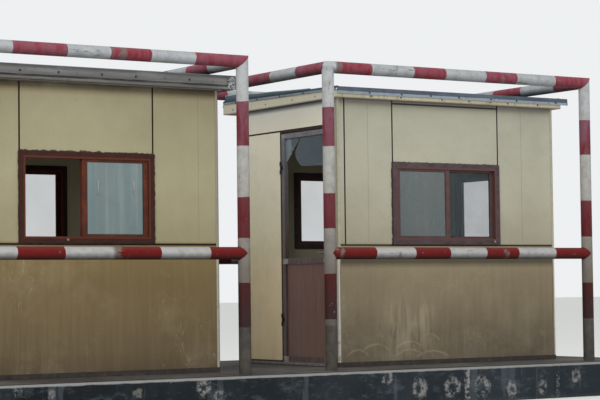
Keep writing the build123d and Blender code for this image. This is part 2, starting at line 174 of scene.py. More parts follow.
def dress(name, material):
    slots = nodes[name].data.materials
    slots.clear()
    slots.append(material)


def addObject(name, data):
    made = bpy.data.objects.new(name, data)
    bpy.context.scene.collection.objects.link(made)
    return made


# Camera, fitted to the photograph's own perspective

cameraPlan = {
    "place": (-9.139, -15.484, 1.035),
    "yaw": 33.124,  # degrees from +Y towards +X
    "pitch": 2.67,
    "roll": -0.693,
    "sensor": 36,
    "lens": 115.85,
    "farthest": 400,
}


def makeCamera(plan):
    data = bpy.data.cameras.new("siteCamera")
    data.sensor_width = plan["sensor"]
    data.lens = plan["lens"]
    data.clip_end = plan["farthest"]
    camera = addObject("siteCamera", data)
    turn = Matrix.Rotation(math.radians(-plan["yaw"]), 4, "Z")
    tilt = Matrix.Rotation(math.radians(90 + plan["pitch"]), 4, "X")
    lean = Matrix.Rotation(math.radians(plan["roll"]), 4, "Z")
    camera.matrix_world = Matrix.Translation(plan["place"]) @ turn @ tilt @ lean
    bpy.context.scene.camera = camera


# Floor, background and light

studioPlan = {
    "floorSize": 260.0,
    "floorColour": tint(226, 226, 222),
    "skyColour": tint(238, 240, 242),
    "skyLight": 0.95,
    "lampSize": 14.0,
    "lampAim": (0, 0, 1.2),
    "lamps": {  # place and power
        "keyLamp": ((-15.0, -13.5, 12.0), 2800.0),
        "fillLamp": ((12.0, -12.0, 8.0), 550.0),
    },
}


def makeLamp(name, place, power):
    data = bpy.data.lights.new(name, "AREA")
    data.shape = "DISK"
    data.size = studioPlan["lampSize"]
    data.energy = power
    lamp = addObject(name, data)
    lamp.location = place
    lamp.rotation_euler = (Vector(studioPlan["lampAim"]) - Vector(place)).to_track_quat("-Z", "Y").to_euler()


def makeStudio(plan):
    half = plan["floorSize"] / 2
    mesh = bpy.data.meshes.new("studioFloor")
    corners = [(-half, -half, 0), (half, -half, 0), (half, half, 0), (-half, half, 0)]
    mesh.from_pydata(corners, [], [(0, 1, 2, 3)])
    matt = bpy.data.materials.new("studioFloor")
    matt.use_nodes = True
    surface = matt.node_tree.nodes["Principled BSDF"].inputs
    surface["Base Color"].default_value = plan["floorColour"]
    surface["Roughness"].default_value = 0.95
    surface["Specular IOR Level"].default_value = 0.1
    mesh.materials.append(matt)
    addObject("studioFloor", mesh)
    world = bpy.data.worlds.new("studioSky")
    world.use_nodes = True
    bpy.context.scene.world = world
    tree = world.node_tree
    background = tree.nodes["Background"].inputs
    background["Color"].default_value = plan["skyColour"]
    path = tree.nodes.new("ShaderNodeLightPath")
    mix = tree.nodes.new("ShaderNodeMix")
    mix.data_type = "FLOAT"
    mix.inputs[2].default_value = plan["skyLight"]  # on the object
    mix.inputs[3].default_value = 1.0  # to the camera
    tree.links.new(path.outputs["Is Camera Ray"], mix.inputs[0])
    tree.links.new(mix.outputs[0], background["Strength"])
    for name, (place, power) in plan["lamps"].items():
        makeLamp(name, place, power)
    bpy.context.scene.view_settings.view_transform = "Standard"


makeCamera(cameraPlan)
makeStudio(studioPlan)
print("camera and studio made")


# Places taken from the frame: the walls, eaves and tops that the finishes and fixings follow

def boothPlaces(side):
    kinds = ("_front_panels", "_back_panels", "_door_wall_panels", "_fascia", "_window_frames")
    front, back, door, board, window = (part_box(side + kind) for kind in kinds)
    return {
        "left": door[0].x, "right": front[1].x, "front": front[0].y, "back": back[1].y,
        "foot": front[0].z, "top": front[1].z, "sill": window[0].z, "head": window[1].z,
        "boardLeft": board[0].x, "boardRight": board[1].x,
        "boardFront": board[0].y, "boardBack": board[1].y, "boardFoot": board[0].z,
    }


booths = {side: boothPlaces(side) for side in sides}
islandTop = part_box("island_infill")[1].z


# Guard frame paint: red bands on white, duller and dirtier towards the ground

guardPlan = {
    "white": [(0, 70, 63, 58), (0.32, 112, 104, 97), (0.62, 164, 162, 157), (1, 172, 175, 178)],
    "red": [(0, 40, 30, 30), (0.18, 52, 31, 31), (0.32, 72, 24, 23), (0.62, 98, 24, 24), (1, 112, 36, 42)],
    "railWhite": [(0, 158, 155, 151), (1, 158, 161, 164)],
    "railRed": [(0, 95, 10, 8), (0.5, 95, 10, 8), (1, 124, 34, 42)],
    "fadedRed": (124, 88, 104),
    "bare": (62, 60, 57),
    "mud": (82, 77, 71),
    "undercoat": (100, 116, 120),
    "scratch": (92, 86, 82),
    "peeled": (104, 98, 93),
    "flake": (140, 140, 138),
    "dust": (150, 148, 144),
    "shade": (30, 25, 23),
    "bandEdge": 0.004,
    "rampTop": 2.8,  # height over the island at the top of the paint ramps
    "footTop": 0.4,
    "peels": [(-1.665, 0.07), (0.53, 0.045), (1.18, 0.012), (2.42, 0.03)],  # X and reach of knocked paint
    "nearPosts": [(1.99, 2.339), (1.258, 1.571), (0.455, 0.857)],  # bands of the posts at each frame's left
    "farPosts": {
        "left": [(1.965, 2.351), (1.167, 1.522), (0.381, 0.785)],
        "right": [(1.997, 2.336), (1.202, 1.551), (0.407, 0.756)],
    },
    "top": {
        "left": [(-3.33, -2.99), (-2.63, -2.14), (-1.745, -1.36), (-0.935, -0.35)],
        "right": [(0.52, 0.9), (1.371, 1.737), (2.211, 2.587), (3.06, 3.55)],
    },
    "mid": {
        "left": [(-3.55, -2.98), (-2.598, -2.173), (-1.716, -1.283), (-0.807, -0.35)],
        "right": [(0.35, 0.925), (1.361, 1.762), (2.186, 2.572), (3.03, 3.55)],
    },
    "nearSide": [(-1.27, -0.812), (-0.376, 0.069), (0.47, 0.87)],
    "farSide": {
        "left": [(-0.76, -0.375), (-0.02, 0.36), (0.74, 1.1)],
        "right": [(-1.27, -0.87), (-0.36, 0.08), (0.4, 0.82)],
    },
}


def bandMask(place, bands):
    return sum(place.between(low, high, guardPlan["bandEdge"]) for low, high in bands)


def guardPaint(name, axis, bands, split, worn, faded, shade=0.8):
    # bands is one list of bands, or a pair of lists that split, a place along X, keeps apart
    plan = guardPlan
    coat = Finish(name)
    height = coat.z - islandTop
    along = {"X": coat.x, "Y": coat.y, "Z": height}[axis]
    place = along + (coat.noise(9, 3, 0.55) - 0.5) * 0.018
    if split is None:
        red = bandMask(place, bands)
    else:
        far = coat.x.above(split, 0.01)
        red = bandMask(place, bands[0]) * (1 - far) + bandMask(place, bands[1]) * far
    grime = coat.noise(12, 7, 0.68)
    patch = coat.noise(3.4, 5, 0.6)
    share = height * (1 / plan["rampTop"])
    stops = ("white", "red") if axis == "Z" else ("railWhite", "railRed")
    white, redPaint = (coat.ramp(share, plan[key]) for key in stops)
    streaks = coat.noise(16, 4, 0.6, (1, 1, 0.25)).above(0.46, 0.12)
    fade = (patch.above(0.52, 0.3) * 0.5 + streaks * 0.5) * share.above(0.62, 0.5)
    coat.colour = coat.blend(red, white, coat.blend(fade * faded, redPaint, plan["fadedRed"]))
    coat.layer(grime.above(0.56, 0.22) * (0.32 - red * 0.26), plan["mud"])
    stretch = tuple(0.5 if letter == axis else 3 for letter in "XYZ")
    scratches = coat.noise(9, 6, 0.75, stretch).above(0.685 - worn * 0.08, 0.02)
    coat.layer(scratches * (1 - red) * worn, plan["scratch"])
    chips = coat.noise(26, 5, 0.7).above(0.7 - worn * 0.05, 0.02)
    coat.layer(chips * 0.8, plan["undercoat"])
    for peelX, reach in plan["peels"] if axis == "X" else []:
        peel = (coat.x - peelX).size().below(reach, 0.02) * grime.above(0.5, 0.03)
        coat.layer(peel * 0.8, plan["peeled"])
    flakes = coat.noise(15, 7, 0.78).above(0.715, 0.01) * red
    coat.layer(flakes * 0.85, plan["flake"])
    if axis == "Z":
        foot = (place + (grime - 0.5) * 0.04).below(plan["footTop"], 0.015)
        coat.layer(foot, coat.blend(grime.above(0.5, 0.25), plan["bare"], plan["mud"]))
    coat.layer(coat.up.above(0.55, 0.5) * (0.4 - red * 0.35), plan["dust"])
    coat.layer(coat.up.below(-0.35, 1.0) * shade, plan["shade"])
    height = grime + coat.noise(130, 3, 0.55) * 0.3 - chips * 0.6 - flakes * 0.6
    return coat.close(height, 0.28, 0.004, rough=0.5 + grime * 0.3, specular=0.12)


def dressGuards(side):
    plan = guardPlan
    split = sum(corner.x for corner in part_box(side + "_guard_posts")) / 2
    posts = (plan["nearPosts"], plan["farPosts"][side])
    rails = (plan["nearSide"], plan["farSide"][side])
    paints = {
        "posts": guardPaint(side + "PostPaint", "Z", posts, split, 0.6, 0.9),
        "SideRail": guardPaint(side + "SideRailPaint", "Y", rails, split, 0.8, 0.8),
        "Corner": guardPaint(side + "TopRailPaint", "X", plan["top"][side], None, 0.9, 0.6, 0.35),
        "MidRail": guardPaint(side + "MidRailPaint", "X", plan["mid"][side], None, 0.7, 0.1),
    }
    for node, kind in (
        ("posts", "posts"), ("front_top_rail", "Corner"), ("back_top_rail", "Corner"),
        ("side_rails", "SideRail"), ("mid_rails", "MidRail"),
    ):
        dress(side + "_guard_" + node, paints[kind])
    return paints


guardFinishes = {side: dressGuards(side) for side in sides}
print("guard frames painted")


# Kerb and island: bitumen-dark paint with worn rings, a scraped pale top edge, and a dark slab, its dirt
# darkened further by painted shadow of the cables and pipes on it

kerbPlan = {
    "near": (12, 17, 20),
    "far": (34, 41, 46),
    "faded": (58, 66, 71),
    "smear": (92, 100, 106),
    "bare": (146, 143, 140),
    "edge": (136, 136, 134),
    "dust": (78, 76, 74),
    "slabDirtAndShade": (28, 22, 20),
    "slabDust": (84, 78, 73),
    "edgeWidth": 0.02,
    "rings": [
        (0.784, 0.26, 0.06), (1.132, 0.155, 0.08), (1.5, 0.15, 0.085), (1.843, 0.14, 0.085),
        (2.19, 0.11, 0.06), (2.56, 0.11, 0.05), (2.968, 0.206, 0.05), (-2.758, 0.26, 0.03),
        (-2.458, 0.23, 0.03), (-1.69, 0.21, 0.028), (-1.075, 0.24, 0.06), (-0.922, 0.165, 0.045),
    ],  # X, Z and reach
    "scars": [(1.676, 0.03), (2.746, 0.018)],  # X and width
}


def kerbPaint():
    plan = kerbPlan
    coat = Finish("kerbPaint")
    x, z = coat.x, coat.z
    grime = coat.noise(9)
    rough = coat.noise(24, 7, 0.8)
    coat.colour = coat.blend(((x + 4.0) * 0.125).clamp(), plan["near"], plan["far"])
    coat.layer(coat.noise(1.3, 5, 0.6).above(0.58, 0.25) * 0.4, plan["faded"])
    coat.layer(rough.above(0.62, 0.1) * 0.14, plan["dust"])
    coat.layer(coat.noise(6, 7, 0.8, (0.7, 1, 1.4)).above(0.585, 0.1) * 0.26, plan["smear"])
    coat.layer(coat.noise(7, 4, 0.6, (1, 1, 0.12)).above(0.6, 0.06) * 0.25, plan["smear"])
    bare = coat.noise(13, 8, 0.75, (1, 1, 1.5)).above(0.685, 0.02)
    ragged = (coat.noise(11, 7, 0.8) - 0.5) * 0.16
    broken = coat.noise(7, 6, 0.8).above(0.47, 0.05)
    for ringX, ringZ, size in plan["rings"]:
        reach = ((x - ringX).square() + ((z - ringZ) * 0.9).square()).root() + ragged
        ring = reach.between(size * 0.4, size, 0.03) * rough.above(0.47, 0.06)
        bare = bare + ring * broken * 0.75
    for scarX, width in plan["scars"]:
        reach = (x - scarX + ragged * 0.25).size()
        bare = bare + reach.below(width, 0.01) * rough.above(0.5, 0.05) * broken * 0.8
    bare = bare.clamp() * coat.y.below(-1.2, 0.1)
    coat.layer(bare * 0.85, plan["bare"])
    worn = (z + (grime - 0.5) * 0.02).above(islandTop - plan["edgeWidth"], 0.008)
    coat.layer(worn * (0.55 + rough * 0.5).clamp(), plan["edge"])
    # Dark up-facing tops away from the front edge: dirt and painted shadow of the cables and pipes
    coat.layer(coat.up.above(0.8, 0.2) * (coat.y + 1.64).size().above(0.04, 0.03) * 0.92, plan["slabDirtAndShade"])
    coat.layer(z.below(0.02, 0.04) * 0.3, plan["dust"])
    height = grime * 0.7 + rough * 0.5 - bare * 0.4
    return coat.close(height, 0.5, 0.006, rough=0.6 + grime * 0.35, specular=0.12)


def islandConcrete():
    coat = Finish("islandConcrete")
    broad = coat.noise(1.4, 6, 0.6)
    fine = coat.noise(40, 6, 0.7)
    # Dark base of the slab: dirt and painted shadow of the cables and pipes, with paler dusty patches
    coat.colour = coat.blend(broad.above(0.52, 0.3), kerbPlan["slabDirtAndShade"], kerbPlan["slabDust"])
    coat.layer(fine.above(0.55, 0.2) * 0.35, (116, 110, 102))
    coat.layer(coat.noise(5, 5).above(0.56, 0.12) * 0.5, (30, 26, 24))
    return coat.close(fine + broad, 0.4, 0.005, rough=0.9)


kerbFinish = kerbPaint()
for name in ("kerb_front", "kerb_back", "kerb_ends", "kerb_corners"):
    dress(name, kerbFinish)
dress("island_infill", islandConcrete())
print("island finished")


# Booth walls: coated panels that darken towards the ground, with dark open joints, painted shade under the
# eaves and behind the right booth's mid rail, and painted light on the right booth's door wall

wallPlan = {
    "height": 2.49,  # of the walls over the island, as a share of which the stops below are given
    # Window walls: the top stops of each ramp are painted shade under the eave; lower down the walls darken
    # towards the ground
    "window": {
        "left": [
            (0, 82, 68, 48), (0.08, 98, 83, 58), (0.25, 111, 94, 62), (0.455, 116, 98, 61),
            (0.462, 145, 137, 107), (0.7, 150, 143, 114), (0.945, 142, 135, 107), (0.96, 143, 134, 106),
            (0.972, 128, 118, 90), (0.979, 108, 98, 71), (0.985, 84, 74, 51), (1, 58, 50, 42),
        ],
        "right": [
            (0, 84, 74, 59), (0.03, 88, 78, 62), (0.125, 101, 90, 70), (0.243, 122, 109, 85),
            (0.455, 142, 130, 103), (0.462, 154, 148, 128), (0.62, 163, 159, 140), (0.93, 168, 166, 149),
            (0.955, 164, 162, 144), (0.97, 157, 155, 137), (0.979, 146, 143, 128), (0.985, 132, 127, 118),
            (1, 118, 113, 106),
        ],
    },
    # Door walls: the top stops are painted shade under the eave, and both darken towards the ground. The
    # right booth's wall, which faces the left booth, is painted far paler than its paint, as painted light
    # for the light the lamps do not bring into the gap between the booths
    "door": {
        "left": [
            (0, 128, 114, 88), (0.14, 142, 128, 100), (0.33, 152, 140, 112), (0.52, 158, 151, 128),
            (0.9, 160, 155, 138), (0.977, 156, 154, 142), (0.984, 120, 120, 114), (0.992, 92, 93, 92),
            (1, 80, 82, 86),
        ],
        "right": [
            (0, 220, 198, 158), (0.14, 232, 212, 170), (0.33, 240, 220, 180), (0.52, 242, 233, 200),
            (0.72, 238, 232, 206), (0.9, 226, 220, 200), (0.977, 220, 218, 205), (0.984, 176, 176, 172),
            (0.992, 118, 119, 120), (1, 84, 86, 92),
        ],
    },
    "railShadow": (1.255, 1.41),  # Z of the mid rail's painted shadow on the right booth's front
    "inside": (176, 168, 142),
    "joint": {"left": (40, 26, 22), "right": (58, 56, 56)},
    "jointDepth": (0.003, 0.021),  # behind the wall's face
    "wash": (1.385, 1.93, 0.42, 0.93),  # pale wiped patch on the right booth, X and Z over the island's base
    "wipes": [
        (1.074, 0.475, 0.15), (1.279, 0.524, 0.22), (1.666, 0.539, 0.23), (1.905, 0.602, 0.14),
        (1.666, 0.465, 0.23), (1.939, 0.446, 0.35),
    ],  # wiped arcs low on the right booth: middle X, crown Z and radius
    "wipeDepth": 0.055,
    "sheetSeams": {"left": [-0.612], "right": [1.215, 3.058]},
}


def washWall(coat, grime):
    # Marks on the right booth's front: a wiped patch, wiped arcs, and the mid rail's painted shadow
    plan = wallPlan
    x, y, z = coat.x, coat.y, coat.z
    x0, x1, z0, z1 = plan["wash"]
    wiped = coat.noise(4, 5, 0.6, (4, 1, 0.7), 0.8).above(0.5, 0.2)
    patch = x.between(x0, x1, 0.2) * z.between(z0, z1, 0.2) * y.below(0, 0.1)
    coat.layer(patch * wiped * 0.22, (190, 176, 146))
    for arcX, crown, reach in plan["wipes"]:
        away = ((x - arcX).square() + (z - crown + reach).square()).root() + (grime - 0.5) * 0.02
        arc = (away - reach).size().below(0.006, 0.009) * z.above(crown - plan["wipeDepth"], 0.02)
        coat.layer(arc * grime.above(0.42, 0.16) * y.below(0, 0.1) * 0.22, (190, 174, 142))
    # Painted shadow of the mid rail on the wall behind it
    railShadowMask = z.between(*plan["railShadow"], 0.06) * y.below(booths["right"]["front"] + 0.004, 0.006)
    coat.layer(railShadowMask * 0.75, (38, 32, 24))


def wallPaint(side, kind):
    plan = wallPlan
    place = booths[side]
    coat = Finish(side + kind.capitalize() + "Wall")
    x, y, z = coat.x, coat.y, coat.z
    grime = coat.noise(4.5, 7, 0.62)
    broad = coat.noise(1, 4, 0.55)
    fine = coat.noise(90, 4, 0.6)
    share = (z - islandTop) * (1 / plan["height"])
    sill = (place["sill"] - islandTop) / plan["height"]
    ragged = (grime - 0.5) * 0.03 * (share - sill).size().above(0.02, 0.04) * share.below(0.95, 0.04)
    coat.colour = coat.ramp(share + ragged, plan[kind][side])
    tone = (broad - 0.5) * 0.5 + (grime - 0.5) * 0.35
    coat.layer((tone * 0.9).clamp(), (196, 188, 160))
    coat.layer((tone * -0.9).clamp(), (70, 58, 40))
    low = share.below(sill, 0.01)
    runs = coat.noise(5, 4, 0.6, (5, 5, 0.25))
    coat.layer(((runs - 0.5) * 0.5 * low).clamp(), (150, 138, 108))
    coat.layer(((0.5 - runs) * 0.45 * low).clamp(), (60, 48, 34))
    scratch = coat.noise(3, 4, 0.6, (1, 1, 0.6), 2.5)
    scuff = (scratch - 0.56).size().below(0.004, 0.003) * coat.noise(1.9, 2, 0.55).above(0.56, 0.06)
    coat.layer(scuff * low * 0.3, (178, 164, 130))
    if side == "right" and kind == "window":
        washWall(coat, grime)
    cells = coat.node("ShaderNodeTexVoronoi", {}, {"Vector": coat.spot, "Scale": 7})
    coat.layer(cells.below(0.035, 0.01) * grime.above(0.52, 0.05) * 0.5, (60, 48, 36))
    coat.layer(fine.above(0.62, 0.1) * 0.12, (80, 68, 50))
    faces = (y - place["front"], place["back"] - y, x - place["left"], place["right"] - x)
    coat.layer(sum(away.between(*plan["jointDepth"], 0.002) for away in faces).clamp(), plan["joint"][side])
    if kind == "window":
        drift = (coat.noise(1.2, 2, 0.5, (0, 0, 1)) - 0.5) * 0.03
        seam = sum((x - seamX + drift).size().below(0.0022, 0.0015) for seamX in plan["sheetSeams"][side])
        coat.layer(seam * share.above(sill + 0.01, 0.01) * y.below(0, 0.1) * 0.6, (96, 92, 80))
    inside = y.between(place["front"] + 0.04, place["back"] - 0.04, 0.01)
    coat.layer(inside * x.between(place["left"] + 0.04, place["right"] - 0.04, 0.01), plan["inside"])
    return coat.close(broad * 1.2 + fine * 0.08, 0.1, 0.008, rough=0.5 + grime * 0.3, specular=0.3)


def trimMetal(side):
    # Thin pale corner angle, brightest where it has been knocked clean low down
    place = booths[side]
    coat = Finish(side + "CornerTrim")
    grime = coat.noise(14)
    bright = (166, 162, 142) if side == "right" else (138, 134, 118)
    coat.colour = coat.blend(grime.above(0.5, 0.4) * 0.5, bright, (130, 126, 108))
    low = coat.z.below(1.4, 0.1)
    clean = coat.blend(grime.above(0.6, 0.1) * 0.6, (200, 196, 186), (110, 100, 84))
    if side == "right":
        rim = coat.x.below(place["left"] + 0.009, 0.004) + coat.x.above(place["right"] - 0.009, 0.004)
        coat.layer(low * 0.9, coat.blend(rim.clamp(), (118, 108, 88), clean))
    else:
        coat.layer(low * 0.3, clean)
        coat.layer(coat.x.above(place["right"] - 0.002, 0.003) * 0.85, (62, 58, 52))
    return coat.close(grime, 0.1, 0.003, rough=0.4 + grime * 0.3, metal=0.25)


def coatedSection(name, main, worn, chip):
    # Coated aluminium section: a film that chalks on its faces and chips at its edges
    coat = Finish(name)
    grime = coat.noise(11)
    chips = coat.noise(46, 5, 0.7).above(0.7, 0.02)
    coat.colour = coat.blend(grime.above(0.45, 0.35) * 0.8, main, worn)
    coat.layer(coat.noise(30, 4, 0.7).above(0.6, 0.1) * 0.35, (26, 20, 18))
    coat.layer(chips * 0.6, chip)
    coat.layer(coat.up.above(0.6, 0.3) * 0.4, (110, 98, 86))
    return coat.close(grime - chips, 0.15, 0.002, rough=0.45 + grime * 0.28, specular=0.12)


windowPlan = {
    "outer": {"left": (46, 22, 16), "right": (62, 48, 48)},
    "worn": {"left": (60, 34, 27), "right": (82, 70, 72)},
    "rim": {"left": (84, 42, 31), "right": (88, 60, 57)},
    "sash": {"left": (98, 48, 31), "right": (88, 56, 50)},
    "rimFrom": 0.04,  # from the frame's outer edge to its lighter inner rim
    "fronts": {"left": (-2.339, -1.059), "right": (1.489, 2.769)},  # X of the front and back windows
    "ends": (-0.538, 0.722),  # Y of the end windows
}


def windowFrame(side):
    # Dark outer channel with a lighter rim where the sashes have rubbed
    plan = windowPlan
    place = booths[side]
    coat = Finish(side + "WindowFrame")
    grime = coat.noise(11)
    coat.colour = coat.blend(grime.above(0.45, 0.4), plan["outer"][side], plan["worn"][side])
    coat.layer(coat.noise(26, 3, 0.6, (0.3, 1, 1)).above(0.58, 0.2) * 0.4, (30, 16, 14))
    rim = plan["rimFrom"]
    x0, x1 = plan["fronts"][side]
    y0, y1 = plan["ends"]
    tall = coat.z.between(place["sill"] + rim, place["head"] - rim, 0.003)
    onEnd = coat.x.above(place["right"] - 0.08, 0.01)
    wide = coat.x.between(x0 + rim, x1 - rim, 0.003) * (1 - onEnd)
    wide = wide + coat.y.between(y0 + rim, y1 - rim, 0.003) * onEnd
    coat.layer(tall * wide * 0.9, plan["rim"][side])
    chips = coat.noise(46, 5, 0.7).above(0.71, 0.02)
    coat.layer(chips * 0.6, (150, 140, 130))
    return coat.close(grime - chips, 0.15, 0.002, rough=0.45 + grime * 0.25, specular=0.12)


glassPlan = {
    "front": {"left": (110, 122, 119), "right": (84, 90, 87)},
    "frontAlpha": {"left": 0.9, "right": 0.8},
    "pale": {"left": (138, 150, 150), "right": (98, 106, 104)},
    "teal": {"left": (98, 120, 126), "right": (62, 80, 84)},
    "clear": (128, 152, 160),
    "clearAlpha": 0.2,
    "clearFrom": 2.16,  # X from which the right booth's front pane lets the end window show
}


def windowGlass(side):
    # Dusty panes towards the lane, clearer ones in the back and end walls
    plan = glassPlan
    coat = Finish(side + "WindowGlass")
    coat.material.surface_render_method = "BLENDED"
    dust = coat.noise(2.6, 6, 0.6)
    bars = coat.noise(5, 3, 0.5, (3, 0, 0.12))
    flow = coat.noise(2, 5, 0.6, (2, 2, 0.5), 0.7)
    coat.colour = coat.blend(bars.above(0.58, 0.2) * 0.5, plan["front"][side], plan["pale"][side])
    coat.layer(flow.above(0.52, 0.3) * 0.6, plan["teal"][side])
    alpha = plan["frontAlpha"][side] + (dust - 0.5) * 0.4
    if side == "right":
        seeThrough = coat.x.above(plan["clearFrom"], 0.02)
        coat.layer(seeThrough, plan["teal"][side])
        alpha = alpha * (1 - seeThrough) + (plan["clearAlpha"] + (dust - 0.5) * 0.2) * seeThrough
    back = coat.y.above(booths[side]["front"] + 0.12, 0.02)
    coat.layer(back, plan["clear"])
    alpha = alpha * (1 - back) + (plan["clearAlpha"] + (dust - 0.5) * 0.1) * back
    return coat.close(dust, 0.02, 0.001, rough=0.12 + dust * 0.1, alpha=alpha.clamp())


def shardGlass():
    coat = Finish("shardGlass")
    coat.material.surface_render_method = "BLENDED"
    dust = coat.noise(6)
    coat.colour = coat.blend(dust.above(0.5, 0.4) * 0.5, (112, 128, 138), (140, 154, 160))
    coat.layer(coat.y.below(0.02, 0.02), (62, 78, 88))  # the big shard
    coat.layer(coat.facingX.size().below(0.7, 0.2) * 0.8, (190, 206, 210))  # broken edges
    alpha = (0.72 + (dust - 0.5) * 0.5).clamp()
    return coat.close(dust, 0.03, 0.001, rough=0.15 + dust * 0.15, alpha=alpha)


def kickWood():
    coat = Finish("kickWood")
    flow = coat.noise(2.6, 4, 0.6, (9, 9, 0.5), 0.8)
    grain = coat.noise(13, 5, 0.7, (10, 10, 0.3))
    coat.colour = coat.blend(flow.above(0.5, 0.4), (100, 60, 44), (80, 43, 32))
    coat.layer(grain.above(0.54, 0.2) * 0.4, (122, 80, 60))
    coat.layer(grain.below(0.4, 0.1) * 0.35, (52, 28, 23))
    coat.layer(coat.z.below(0.62, 0.4) * coat.noise(8) * 0.6, (96, 82, 68))
    return coat.close(grain + flow, 0.15, 0.002, rough=0.5, coat=0.15)


def doorSection(name, upper, lower):
    # Anodised door section: paler and cooler under the eave, browner towards the ground
    coat = Finish(name)
    grime = coat.noise(12)
    stops = [(0, *lower), (0.5, *lower), (0.96, *upper), (1, *upper)]
    coat.colour = coat.ramp((coat.z - islandTop) * 0.44, stops)
    coat.layer(coat.noise(24, 3, 0.5, (1, 1, 0.12)).above(0.56, 0.2) * 0.25, (128, 110, 104))
    coat.layer(grime.above(0.55, 0.2) * 0.35, (46, 34, 32))
    return coat.close(grime, 0.12, 0.002, rough=0.38 + grime * 0.25, specular=0.45)


def plainFinish(name, main, second, rough, metal=0, grain=(18,), edge=(0.5, 0.4), bump=(0.15, 0.002), **more):
    # Grime that blends two colours; edge is where the second starts, and over what width.
    # more holds how the roughness varies, spots of other colours, and dust on what faces up
    vary = more.get("vary", 0.2)
    coat = Finish(name)
    grime = coat.noise(*grain)
    coat.colour = coat.blend(grime.above(*edge), main, second)
    for start, soft, share, paint in more.get("spots", []):
        coat.layer(grime.above(start, soft) * share, paint)
    if "dust" in more:
        coat.layer(coat.up.above(0.6, 0.3) * 0.6, more["dust"])
    return coat.close(grime, *bump, rough=rough + grime * vary if vary else rough, metal=metal)


roofPlan = {
    # The left booth's dark brown board is painted shade under its flashing; the right one shows its beige
    # paint
    "board": {"left": ((86, 72, 50), (66, 56, 44)), "right": ((192, 186, 162), (170, 160, 130))},
    "web": (84, 96, 108),
    "webDark": (62, 72, 84),
    # The lip's paler colour is a painted highlight on the same metal as the web
    "lip": (140, 150, 160),
    "teal": (50, 78, 88),
    "lipProud": 0.006,  # beyond the board's face
    # Painted light and shade of the flashing's folds, by height
    "flashingFoldShading": [
        (0, 84, 80, 76), (0.07, 104, 102, 99), (0.17, 104, 103, 100), (0.205, 58, 56, 54),
        (0.3, 66, 64, 64), (0.345, 90, 88, 88), (0.46, 104, 103, 102), (0.62, 114, 114, 112),
        (0.76, 100, 100, 98), (0.84, 88, 87, 88), (0.93, 74, 74, 78), (1, 120, 122, 124),
    ],
    "flashingRise": (0.01, 0.125),  # foot over the walls, and height
    "sheet": {"left": ((112, 113, 112), (92, 94, 96)), "right": ((58, 74, 92), (86, 98, 112))},
}


def eaveBoard(side):
    place = booths[side]
    coat = Finish(side + "EaveBoard")
    broad, grime = coat.noise(2.4, 5, 0.6), coat.noise(14)
    coat.colour = coat.blend(broad.above(0.5, 0.4), *roofPlan["board"][side])
    coat.layer(coat.noise(7, 4, 0.6, (4, 4, 0.4)).above(0.58, 0.15) * 0.3, (96, 84, 62))
    # Painted light: the board's left end is painted paler
    coat.layer(coat.x.below(place["boardLeft"] + 0.003, 0.002) * 0.7, (218, 212, 192))
    # Painted shade along the board's foot
    coat.layer(coat.z.below(place["boardFoot"] + 0.01, 0.006) * 0.5, (70, 62, 54))
    return coat.close(grime + broad, 0.15, 0.003, rough=0.6 + grime * 0.2)


def roofTrim(side):
    # Two-tone folded trim: a darker web above a lip painted paler, as a painted highlight
    plan = roofPlan
    place = booths[side]
    coat = Finish(side + "RoofTrim")
    grime, broad = coat.noise(13, 6, 0.68), coat.noise(2.6, 5, 0.6)
    proud = plan["lipProud"]
    lip = coat.y.below(place["boardFront"] - proud, 0.002)
    lip = lip + coat.y.above(place["boardBack"] + proud, 0.002)
    lip = (lip + coat.x.below(place["boardLeft"] - proud, 0.002)).clamp()
    coat.colour = coat.blend(broad.above(0.48, 0.3), plan["webDark"], plan["web"])
    coat.layer(lip, plan["lip"])
    end = coat.x.below(place["boardLeft"] + 0.03, 0.01) * coat.y.above(place["boardFront"] + 0.02, 0.01)
    coat.layer(end * (1 - lip) * 0.8, plan["teal"])
    coat.layer(grime.above(0.58, 0.12) * 0.35, (54, 56, 60))
    coat.layer(coat.noise(40, 4, 0.7).above(0.68, 0.03) * 0.6, (176, 182, 186))
    return coat.close(grime + broad, 0.15, 0.003, rough=0.42 + grime * 0.3, metal=0.25)


def grooveFlashing(side):
    # Mill-finish flashing: bands of painted light and shade that follow its folds, with a dark crease,
    # streaked by rain
    coat = Finish(side + "Flashing")
    grime = coat.noise(13, 6, 0.68)
    foot, height = roofPlan["flashingRise"]
    coat.colour = coat.ramp((coat.z - (booths[side]["top"] + foot)) * (1 / height), roofPlan["flashingFoldShading"])
    streak = coat.noise(6, 5, 0.65, (0.35, 1, 4))
    coat.layer(streak.above(0.55, 0.2) * 0.35, (70, 68, 66))
    coat.layer(streak.below(0.42, 0.1) * 0.35, (140, 140, 138))
    coat.layer(grime.above(0.62, 0.06) * 0.4, (58, 52, 48))
    coat.layer(coat.noise(34, 5, 0.75).above(0.69, 0.02) * 0.5, (168, 166, 160))
    return coat.close(grime + streak, 0.15, 0.003, rough=0.42 + grime * 0.3, metal=0.3)


def roofSheetPaint(side):
    coat = Finish(side + "RoofSheet")
    broad, grime = coat.noise(2.2, 5, 0.6), coat.noise(15)
    coat.colour = coat.blend(broad.above(0.5, 0.4), *roofPlan["sheet"][side])
    coat.layer(coat.noise(5, 4, 0.6, (4, 0.4, 1)).above(0.56, 0.2) * 0.45, (94, 78, 66))
    coat.layer(grime.above(0.62, 0.1) * 0.4, (60, 58, 54))
    return coat.close(grime + broad, 0.15, 0.003, rough=0.45 + grime * 0.3, metal=0.3)


